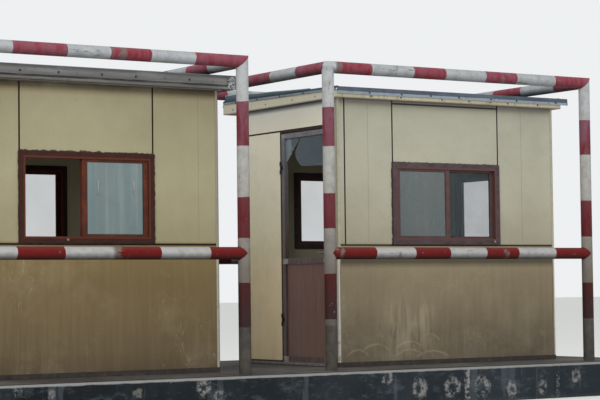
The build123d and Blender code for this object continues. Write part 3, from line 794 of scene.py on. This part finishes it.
def dressBooths():
    hinge = plainFinish("hingeBlack", (24, 24, 26), (44, 40, 38), 0.5, 0.4)
    shared = {
        "base_frame": plainFinish(
            "baseSteel", (30, 25, 22), (54, 46, 40), 0.78, 0, (16, 6, 0.7), (0.5, 0.3), (0.4, 0.004), vary=0,
            spots=[(0.63, 0.05, 0.5, (96, 58, 40))], dust=(80, 72, 65),
        ),
        "floor": plainFinish(
            "floorBoard", (60, 52, 44), (96, 86, 72), 0.8, 0, (6,), (0.5, 1), (0.2, 0.003), vary=0
        ),
        "ceiling": plainFinish(
            "ceilingPanel", (120, 116, 104), (88, 82, 70), 0.7, 0, (5,), (0.45, 0.4), (0.1, 0.003), vary=0
        ),
        # The door frame's near-black colour is partly painted shade, standing for the shaded gap round the
        # leaf
        "door_frame": coatedSection("doorFrame", (40, 32, 31), (62, 48, 46), (128, 118, 110)),
        "door_leaf": doorSection("doorLeaf", (112, 110, 116), (76, 60, 55)),
        "door_kick_panel": kickWood(),
        "door_broken_glass": shardGlass(),
        "door_handle": plainFinish("handleSteel", (150, 148, 142), (110, 106, 98), 0.35, 0.9),
        "hinge_pins": hinge,
        "hinge_leaves": hinge,
    }
    for side in sides:
        plain = wallPaint(side, "window")
        sash = (side + "SashBrown", windowPlan["sash"][side], windowPlan["worn"][side], (150, 140, 126))
        finishes = shared | {
            "front_panels": plain, "back_panels": plain, "end_wall_panels": plain,
            "door_wall_panels": wallPaint(side, "door"), "corner_posts": trimMetal(side),
            "window_frames": windowFrame(side), "window_sashes": coatedSection(*sash),
            "window_glass": windowGlass(side), "fascia": eaveBoard(side),
            "roof_trim": grooveFlashing(side) if side == "left" else roofTrim(side),
            "roof_sheet": roofSheetPaint(side),
        }
        for name, finish in finishes.items():
            dress(side + "_" + name, finish)


dressBooths()
print("booths finished")


# Small pieces: each is a closed mesh that rides on the body that carries it

def makePiece(name, build, finish, body="island", smooth=True):
    bmesh.ops.recalc_face_normals(build, faces=build.faces)
    mesh = bpy.data.meshes.new(name)
    build.to_mesh(mesh)
    build.free()
    mesh.materials.append(finish)
    for polygon in mesh.polygons:
        polygon.use_smooth = smooth
    piece = addObject(name, mesh)
    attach(piece, body)


def looseBoxes(node):
    # The lowest and highest corners of each separate solid in a node
    build = bmesh.new()
    build.from_mesh(nodes[node].data)
    bmesh.ops.remove_doubles(build, verts=build.verts, dist=0.00001)
    waiting = set(build.verts)
    boxes = []
    while waiting:
        group = [waiting.pop()]
        low, high = group[0].co.copy(), group[0].co.copy()
        while group:
            vert = group.pop()
            low = Vector(map(min, low, vert.co))
            high = Vector(map(max, high, vert.co))
            others = {edge.other_vert(vert) for edge in vert.link_edges} & waiting
            waiting -= others
            group.extend(others)
        boxes.append((low, high))
    build.free()
    return sorted(boxes, key=lambda pair: [round(value, 4) for value in pair[0]])


def addBlock(build, low, high, soft=0.0):
    low, high = Vector(low), Vector(high)
    place = Matrix.LocRotScale((low + high) / 2, None, high - low)
    verts = bmesh.ops.create_cube(build, size=1.0, matrix=place)["verts"]
    if soft:
        edges = list({edge for vert in verts for edge in vert.link_edges})
        bmesh.ops.bevel(build, geom=edges, offset=soft, segments=2, profile=0.7, affect="EDGES")


def addRing(build, place, axis, radius, count, ripple=1):
    across = axis.orthogonal().normalized()
    third = axis.cross(across)
    ring = []
    for step in range(count):
        angle = 2 * math.pi * step / count
        spoke = across * math.cos(angle) + third * math.sin(angle)
        ring.append(build.verts.new(Vector(place) + spoke * radius * ripple))
    return ring


def joinRings(build, low, high, shift=0):
    count = len(low)
    for turn in range(count):
        after = (turn + 1) % count
        far, near = high[(after + shift) % count], high[(turn + shift) % count]
        build.faces.new((low[turn], low[after], far, near))


def closeEnds(build, rings):
    build.faces.new(rings[0][::-1])
    build.faces.new(rings[-1])


def addSheet(build, rows, thick, keep=lambda i, k: True):
    # A thin sheet over rows of points; keep says which of its cells are there
    grid = [[build.verts.new(point) for point in row] for row in rows]
    for i, (before, after) in enumerate(zip(grid, grid[1:])):
        for k in range(len(before) - 1):
            if keep(i, k):
                build.faces.new((before[k], after[k], after[k + 1], before[k + 1]))
    bmesh.ops.delete(build, geom=[vert for vert in build.verts if not vert.link_faces], context="VERTS")
    bmesh.ops.recalc_face_normals(build, faces=build.faces)
    bmesh.ops.solidify(build, geom=list(build.faces), thickness=thick)


fixingPlan = {
    "sunk": 0.001,
    "screw": (12, [(1, 0.12), (0.66, 0.22), (0.6, 0.62), (0.42, 0.74)]),  # a washer with a low head
    "dome": (10, [(0.92, 0.3), (0.5, 0.55)]),
    "hinge": {"screw": 0.0035, "proud": 0.0025, "pin": 0.007, "leaf": 0.011, "jamb": 0.019},
}  # each head is a number of sides, and radii and heights as shares of its radius


def addTurned(build, place, facing, profile, count):
    # A small turned form: profile pairs are radius and height along facing
    axis = Vector(facing)
    rings = [addRing(build, Vector(place) + axis * high, axis, wide, count) for wide, high in profile]
    for low, high in zip(rings, rings[1:]):
        joinRings(build, low, high)
    closeEnds(build, rings)


def addHead(build, place, facing, radius, kind="screw"):
    count, shares = fixingPlan[kind]
    profile = [(radius, -fixingPlan["sunk"])] + [(radius * wide, radius * high) for wide, high in shares]
    addTurned(build, place, facing, profile, count)


def addBead(build, path, radius, closed=True):
    # A bead along a path, rippled as a weld is
    count = len(path)
    sidesRound = 6
    rings = []
    for step, point in enumerate(path):
        after = path[(step + 1) % count] if closed or step + 1 < count else point
        before = path[step - 1] if closed or step else point
        ripple = 1 + 0.22 * math.sin(step * 1.9) + 0.25 * noise.noise(Vector(point) * 40)
        along = (Vector(after) - Vector(before)).normalized()
        rings.append(addRing(build, point, along, radius, sidesRound, ripple))
    for low, high in zip(rings, rings[1:] + rings[:closed]):
        shift = min(range(sidesRound), key=lambda turn: (high[turn].co - low[0].co).length)
        joinRings(build, low, high, shift)


# Weld beads of the guard frames, along the coped and mitred joints

weldPlan = {"bead": 0.0045, "points": 36, "stub": 0.06, "underTop": 0.0003}


def jointPath(middle, shape):
    # shape gives the offset from the joint's middle, in pipe radii, for a cosine and a sine
    path = []
    for step in range(weldPlan["points"]):
        angle = 2 * math.pi * step / weldPlan["points"]
        offsets = shape(math.cos(angle), math.sin(angle))
        path.append([start + guardRadius * offset for start, offset in zip(middle, offsets)])
    return path


def weldGuard(side):
    low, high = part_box(side + "_guard_posts")
    left, right = low.x + guardRadius, high.x - guardRadius
    railZ = high.z - guardRadius
    midZ = sum(corner.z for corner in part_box(side + "_guard_mid_rails")) / 2
    kinds = {"MidRail": bmesh.new(), "SideRail": bmesh.new(), "Corner": bmesh.new()}
    for y, sign in ((low.y + guardRadius, 1), (high.y - guardRadius, -1)):
        joints = [
            ("MidRail", (left, y, midZ), 1, lambda a, b: (abs(b), a, b)),
            ("MidRail", (right, y, midZ), 1, lambda a, b: (-abs(b), a, b)),
            ("SideRail", (left, y, railZ), 1, lambda a, b: (a, sign * max(-b, a, 0), b)),
            ("SideRail", (right, y, railZ), 1, lambda a, b: (a, sign * (abs(b) if b < a else abs(a)), b)),
            ("Corner", (left + weldPlan["stub"], y, railZ), 0.7, lambda a, b: (0, a, b)),
            ("Corner", (right, y, railZ), 0.6, lambda a, b: (a, b, a)),
        ]
        for kind, middle, share, shape in joints:
            addBead(kinds[kind], jointPath(middle, shape), weldPlan["bead"] * share)
    for kind, build in kinds.items():
        for vert in build.verts:
            vert.co.z = min(vert.co.z, high.z - weldPlan["underTop"])
        makePiece(side + kind + "Welds", build, guardFinishes[side][kind])


guardRadius = (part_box("left_guard_mid_rails")[1].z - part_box("left_guard_mid_rails")[0].z) / 2
for side in sides:
    weldGuard(side)
print("guard frames welded")


# Sealant pressed round the window frames, ragged where it was smeared, and rubber round the panes

sealPlan = {
    "step": 0.016,
    "proud": 0.0035,
    "tuck": 0.003,  # under the frame's edge
    "sunk": 0.001,
    "least": 0.003,
    "front": {"left": (0.006, 0.012, 0.011, 0.007), "right": (0.01, 0.006, 0.005, 0.01)},
    "other": (0.006, 0.006, 0.006, 0.006),
    "rubber": {"bite": 0.0095, "wide": 0.005, "proud": 0.0018},
}


def addSealant(build, start, end, outward, facing, width):
    plan = sealPlan
    count = max(2, round((end - start).length / plan["step"]))
    rows = []
    for step in range(count + 1):
        point = start.lerp(end, step / count)
        lump = noise.noise(point * 31) + 0.7 * noise.noise(point * 83)
        reach = outward * (plan["least"] + max(0.0, width * (0.75 + 1.1 * lump)))
        rise = facing * (plan["proud"] * (0.8 + 0.5 * noise.noise(point * 57)))
        base = point - outward * plan["tuck"]
        spots = (base - facing * plan["sunk"], base + rise, point + reach * 0.6 + rise * 0.8,
                 point + reach - facing * plan["sunk"])
        rows.append([build.verts.new(spot) for spot in spots])
    for low, high in zip(rows, rows[1:]):
        joinRings(build, low, high)
    closeEnds(build, rows)


def sealWindow(build, low, high, facing, widths):
    # low and high are the frame's corners on the wall's face; widths run left, top, right, foot
    facing, up = Vector(facing), Vector((0, 0, 1))
    leftFoot, rightTop = Vector(low), Vector(high)
    leftTop, rightFoot = Vector((*low[:2], high[2])), Vector((*high[:2], low[2]))
    out = (leftFoot - rightFoot).normalized()
    addSealant(build, leftFoot, leftTop, out, facing, widths[0])
    addSealant(build, leftTop, rightTop, up, facing, widths[1])
    addSealant(build, rightFoot, rightTop, -out, facing, widths[2])
    addSealant(build, leftFoot, rightFoot, -up, facing, widths[3])


def sealBooth(side, finish):
    place = booths[side]
    x0, x1 = windowPlan["fronts"][side]
    y0, y1 = windowPlan["ends"]
    z0, z1 = place["sill"], place["head"]
    build = bmesh.new()
    front, back, end = place["front"], place["back"], place["right"]
    sealWindow(build, (x0, front, z0), (x1, front, z1), (0, -1, 0), sealPlan["front"][side])
    sealWindow(build, (x0, back, z0), (x1, back, z1), (0, 1, 0), sealPlan["other"])
    sealWindow(build, (end, y0, z0), (end, y1, z1), (1, 0, 0), sealPlan["other"])
    makePiece(side + "WindowSealant", build, finish)


def gasketBooth(side, finish):
    # Rubber round each pane, pressed against both faces of the glass
    bite, wide, proud = sealPlan["rubber"].values()
    build = bmesh.new()
    for low, high in looseBoxes(side + "_window_glass"):
        flat = 0 if high.x - low.x > high.y - low.y else 1  # axis along the pane
        thin = 1 - flat
        a0, a1 = low[flat] + bite, high[flat] - bite
        z0, z1 = low.z + bite, high.z - bite
        bars = [
            (a0, a1, z0, z0 + wide), (a0, a1, z1 - wide, z1),
            (a0, a0 + wide, z0 + wide, z1 - wide), (a1 - wide, a1, z0 + wide, z1 - wide),
        ]
        for b0, b1, c0, c1 in bars:
            first, second = [0, 0, c0], [0, 0, c1]
            first[flat], second[flat] = b0, b1
            first[thin], second[thin] = low[thin] - proud, high[thin] + proud
            addBlock(build, first, second)
    makePiece(side + "GlazingRubber", build, finish, smooth=False)


# Fixings: roof boards, flashings, corner angles, sill strips, hinges and the door's corner plates

screwPlan = {
    "boardFront": {
        "left": [-2.9, -2.55, -2.2, -1.85, -1.5, -1.15, -0.8, -0.5],
        "right": [1.218, 1.563, 2.047, 2.373, 2.632, 2.851, 3.23],
    },
    "boardSide": [-0.478, -0.081, 0.397, 0.76, 1.008],
    "lipFront": {
        "left": [-2.72, -2.353, -2.0, -1.593, -1.265, -0.734],
        "right": [1.196, 1.565, 1.907, 2.245, 2.637, 2.956, 3.458],
    },
    "lipSide": [-0.699, -0.289, 0.121, 0.531, 0.941],
    "lipProud": 0.0122,
    "rise": {
        "boardFront": 0.022, "boardBack": 0.03, "boardSide": 0.036, "lipBack": 0.08, "lipSide": 0.074,
        "leftLip": 0.079, "rightLip": 0.053,
    },  # over the walls
    "radius": {
        "boardFront": 0.0085, "lipFront": 0.0105, "back": 0.0065, "boardSide": 0.0075, "lipSide": 0.0085,
    },
    "fall": 0.034 / 2.039,  # of the roof towards the lane
    "sheet": {"radius": 0.008, "rows": (0.06, 0.35, 0.64, 0.94)},
}


def screwRoof(side, finish):
    plan, rise, radius = screwPlan, screwPlan["rise"], screwPlan["radius"]
    place = booths[side]
    low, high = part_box(side + "_roof_trim")
    top = place["top"]
    build = bmesh.new()
    if side == "right":
        for x in plan["boardFront"][side]:
            spot = (x, place["boardFront"], top + rise["boardFront"])
            addHead(build, spot, (0, -1, 0), radius["boardFront"])
    for x in plan["lipFront"][side]:
        addHead(build, (x, low.y, top + rise[side + "Lip"]), (0, -1, 0), radius["lipFront"])
    for x in plan["boardFront"][side]:
        for y, lift in ((place["boardBack"], rise["boardBack"]), (high.y - 0.0005, rise["lipBack"])):
            addHead(build, (x, y, top + lift), (0, 1, 0), radius["back"])
    for sign, face in ((-1, place["boardLeft"]), (1, place["boardRight"])):
        for y in plan["boardSide"]:
            addHead(build, (face, y, top + rise["boardSide"]), (sign, 0, 0), radius["boardSide"])
        for y in plan["lipSide"]:
            z = top + rise["lipSide"] + plan["fall"] * (y - place["boardFront"])
            addHead(build, (face + sign * plan["lipProud"], y, z), (sign, 0, 0), radius["lipSide"])
    makePiece(side + "EaveScrews", build, finish)


def screwSheet(side, finish):
    # Washer screws through the crests of the ribbed sheet
    verts = [vert.co for vert in nodes[side + "_roof_sheet"].data.vertices]
    y0, y1 = min(co.y for co in verts), max(co.y for co in verts)
    frontTop = max(co.z for co in verts if co.y < y0 + 0.002)
    backTop = max(co.z for co in verts if co.y > y1 - 0.002)
    crests = sorted({round(co.x, 3) for co in verts if co.y < y0 + 0.002 and co.z > frontTop - 0.0005})
    build = bmesh.new()
    for x0, x1 in zip(crests, crests[1:]):
        for share in screwPlan["sheet"]["rows"] if x1 - x0 < 0.1 else []:
            spot = ((x0 + x1) / 2, y0 + (y1 - y0) * share, frontTop + (backTop - frontTop) * share)
            addHead(build, spot, (0, 0, 1), screwPlan["sheet"]["radius"])
    makePiece(side + "SheetScrews", build, finish)


rivetPlan = {"pitch": 0.46, "first": 0.12, "inset": 0.012, "proud": 0.003, "radius": 0.0045, "stagger": 0.02}


def rivetCorners(side, finish):
    plan = rivetPlan
    place = booths[side]
    build = bmesh.new()
    for row in range(int((place["top"] - place["foot"]) / plan["pitch"]) + 1):
        z = place["foot"] + plan["first"] + row * plan["pitch"]
        for x, sx in ((place["left"], -1), (place["right"], 1)):
            for y, sy in ((place["front"], -1), (place["back"], 1)):
                onFront = (x - sx * plan["inset"], y + sy * plan["proud"], z)
                onEnd = (x + sx * plan["proud"], y - sy * plan["inset"], z + plan["stagger"])
                addHead(build, onFront, (0, sy, 0), plan["radius"], "dome")
                addHead(build, onEnd, (sx, 0, 0), plan["radius"], "dome")
    makePiece(side + "CornerRivets", build, finish)


stripPlan = {"thick": 0.004, "gap": 0.0035, "foot": 0.006, "top": 0.03, "screw": 0.0048, "pitch": 0.105}


def sillStrip(side, pale, dark):
    # Folded strip that covers the gap under the door wall, with a row of screws
    plan = stripPlan
    front, back = booths[side]["front"], booths[side]["back"]
    x1 = booths[side]["left"] - plan["gap"]
    x0 = x1 - plan["thick"]
    strip, screws = bmesh.new(), bmesh.new()
    z0, z1 = islandTop + plan["foot"], islandTop + plan["top"]
    addBlock(strip, (x0, front + 0.1, z0), (x1, back - 0.02, z1), 0.001)
    for step in range(int((back - front - 0.16) / plan["pitch"])):
        spot = (x0, front + 0.14 + step * plan["pitch"], (z0 + z1) / 2)
        addHead(screws, spot, (-1, 0, 0), plan["screw"])
    makePiece(side + "SillStrip", strip, pale)
    makePiece(side + "SillStripScrews", screws, dark)


platePlan = {"long": 0.092, "thick": 0.0016, "margin": 0.004, "screw": 0.0048}


def doorPlates(side, pale, dark):
    # Corner plates that hold the door leaf's rails to its stiles
    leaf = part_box(side + "_door_leaf")
    rails = [pair for pair in looseBoxes(side + "_door_leaf") if pair[1].z - pair[0].z < 0.2]
    plates, screws = bmesh.new(), bmesh.new()
    margin, long = platePlan["margin"], platePlan["long"]
    face = leaf[0].x - platePlan["thick"]
    for low, high in rails:
        z0, z1 = low.z + margin, high.z - margin
        for y0 in (leaf[0].y + margin, leaf[1].y - margin - long):
            addBlock(plates, (face, y0, z0), (leaf[0].x + 0.0005, y0 + long, z1), 0.0006)
            for across, up in ((0.2, 0.25), (0.2, 0.75), (0.8, 0.25), (0.8, 0.75)):
                spot = (face, y0 + long * across, z0 + (z1 - z0) * up)
                addHead(screws, spot, (-1, 0, 0), platePlan["screw"], "dome")
    makePiece(side + "DoorPlates", plates, pale, side + "_door")
    makePiece(side + "DoorPlateScrews", screws, dark, side + "_door")


def hingeScrews(side, finish):
    plan = fixingPlan["hinge"]
    moving, fixed = bmesh.new(), bmesh.new()
    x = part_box(side + "_door_leaf")[0].x - plan["proud"]
    for low, high in looseBoxes(side + "_hinge_leaves"):
        middle = (low.z + high.z) / 2
        leafY, jambY = low.y + plan["leaf"], high.y - plan["pin"] + plan["jamb"]
        for up in (-0.01, 0.01):
            addHead(moving, (x, leafY, middle + up), (-1, 0, 0), plan["screw"], "dome")
            for far in (-0.04, 0.04):
                addHead(fixed, (x, jambY, middle + far + up), (-1, 0, 0), plan["screw"], "dome")
    makePiece(side + "HingeLeafScrews", moving, finish, side + "_door")
    makePiece(side + "HingeJambScrews", fixed, finish)


catchPlan = {
    "catch": {"left": -1.895, "right": 2.7},  # X of the catch on the front window's sill
    "pulls": {"left": [(-1.598, 1.865, 1.994), (-1.252, 1.88, 1.99)], "right": []},  # X, foot and top
    "knob": [(0.006, -0.001), (0.005, 0.004), (0.002, 0.006)],
}


def sashCatches(side, finish):
    # A small turned catch on the sill of the front window, and pulls on the sashes
    front, sill = booths[side]["front"], booths[side]["sill"]
    build = bmesh.new()
    x = catchPlan["catch"][side]
    y = front - 0.022
    addBlock(build, (x - 0.01, y, sill + 0.02), (x + 0.01, y + 0.007, sill + 0.038), 0.002)
    addTurned(build, (x, y, sill + 0.029), (0, -1, 0), catchPlan["knob"], 10)
    for pullX, low, high in catchPlan["pulls"][side]:
        addBlock(build, (pullX - 0.006, front - 0.0005, low), (pullX + 0.006, front + 0.007, high), 0.002)
    makePiece(side + "SillCatch", build, finish)


tornPlan = {
    "x": (-0.345, -0.262),
    "z": (2.822, 2.932),
    "cells": (12, 16),
    "proud": 0.002,
    "crumple": 0.006,
    "tear": 0.022,
    "torn": 0.12,  # noise over which an outer cell is gone
    "thick": 0.0008,
}


def tornEnd(finish):
    # Torn foil at the right end of the left booth's flashing
    plan = tornPlan
    x0, x1 = plan["x"]
    z0, z1 = plan["z"]
    across, up = plan["cells"]
    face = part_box("left_roof_trim")[0].y - plan["proud"]
    build = bmesh.new()

    def crumpled(u, v):
        spot = Vector((u * 5.1, v * 6.3, 2.7))
        fold = (noise.noise(spot) + abs(noise.noise(spot * 2.3))) * plan["crumple"]
        tear = plan["tear"] * noise.noise(Vector((v * 7.0, 4.2, 0))) * (1 - u) - 0.006 * u
        return (x0 + (x1 - x0) * u + tear, face - abs(fold), z0 + (z1 - z0) * v)

    def whole(i, k):
        inside = 0 < i < across - 1 and 0 < k < up - 1
        return inside or noise.noise(Vector((i * 1.7, k * 2.9, 9.1))) <= plan["torn"]

    rows = [[crumpled(i / across, k / up) for k in range(up + 1)] for i in range(across + 1)]
    addSheet(build, rows, plan["thick"], whole)
    makePiece("leftTornFlashing", build, finish)


liftPlan = {
    "run": (-0.4, 1.16),  # Y from where the sheet's edge starts to lift
    "over": 0.102,  # the walls, at the roof's front edge
    "least": 0.01,
    "rise": 0.045,
    "wave": 0.005,
    "sway": 0.004,
    "steps": 56,
    "tuck": 0.006,
    "thick": 0.0008,
    "roll": 0.003,
}


def liftedEdge(sheetFinish, rollFinish):
    # The right booth's roof edge, lifted and buckled towards the rear
    plan = liftPlan
    place = booths["right"]
    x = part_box("right_roof_trim")[0].x
    start, end = plan["run"]
    build, roll, rows = bmesh.new(), bmesh.new(), []
    for step in range(plan["steps"] + 1):
        share = step / plan["steps"]
        y = start + (end - start) * share
        foot = place["top"] + plan["over"] + screwPlan["fall"] * (y - place["boardFront"])
        lift = plan["least"] + plan["rise"] * share ** 1.2 + plan["wave"] * math.sin(y * 9) * share
        low = Vector((x + 0.004, y, foot - plan["tuck"]))
        high = Vector((x + 0.01 + plan["sway"] * math.sin(y * 14), y, foot + lift))
        rows.append((low, low.lerp(high, 0.5), high))
    addSheet(build, rows, plan["thick"])
    addBead(roll, [row[-1] for row in rows], plan["roll"], False)
    bmesh.ops.holes_fill(roll, edges=roll.edges)
    makePiece("rightLiftedSheet", build, sheetFinish)
    makePiece("rightRolledEdge", roll, rollFinish)


def fitFixings():
    sealant = plainFinish(
        "oldSealant", (44, 32, 27), (70, 56, 48), 0.85, 0, (60, 5, 0.7), (0.45, 0.3), (0.5, 0.002), vary=0,
        spots=[(0.66, 0.05, 0.6, (116, 106, 88))],
    )
    foil = plainFinish(
        "tornFoil", (168, 170, 170), (46, 48, 50), 0.35, 0.6, (50, 5, 0.75), (0.5, 0.12), (0.4, 0.002),
        vary=0.3,
    )
    metals = {
        "screwBlack": ((22, 24, 26), (48, 46, 44), 0.5, 0.3),
        "screwBlue": ((38, 46, 58), (62, 70, 80), 0.5, 0.3),
        "plateZinc": ((168, 164, 158), (118, 112, 106), 0.4, 0.5),
        "stripPale": ((132, 130, 126), (92, 88, 84), 0.5, 0.2),
        "glazingRubber": ((22, 22, 22), (44, 42, 40), 0.7, 0.0),
        "liftedTeal": ((52, 78, 88), (74, 92, 100), 0.5, 0.2),
        "rolledChalk": ((190, 196, 198), (140, 150, 156), 0.5, 0.1),
    }
    black, blueBlack, zinc, pale, rubber, teal, chalk = (
        plainFinish(name, *values) for name, values in metals.items()
    )
    for side in sides:
        sealBooth(side, sealant)
        gasketBooth(side, rubber)
        screwRoof(side, black if side == "left" else blueBlack)
        screwSheet(side, zinc)
        rivetCorners(side, zinc)
        sillStrip(side, pale, black)
        doorPlates(side, zinc, black)
        hingeScrews(side, black)
        sashCatches(side, zinc)
    tornEnd(foil)
    liftedEdge(teal, chalk)


fitFixings()
print("fixings fitted")
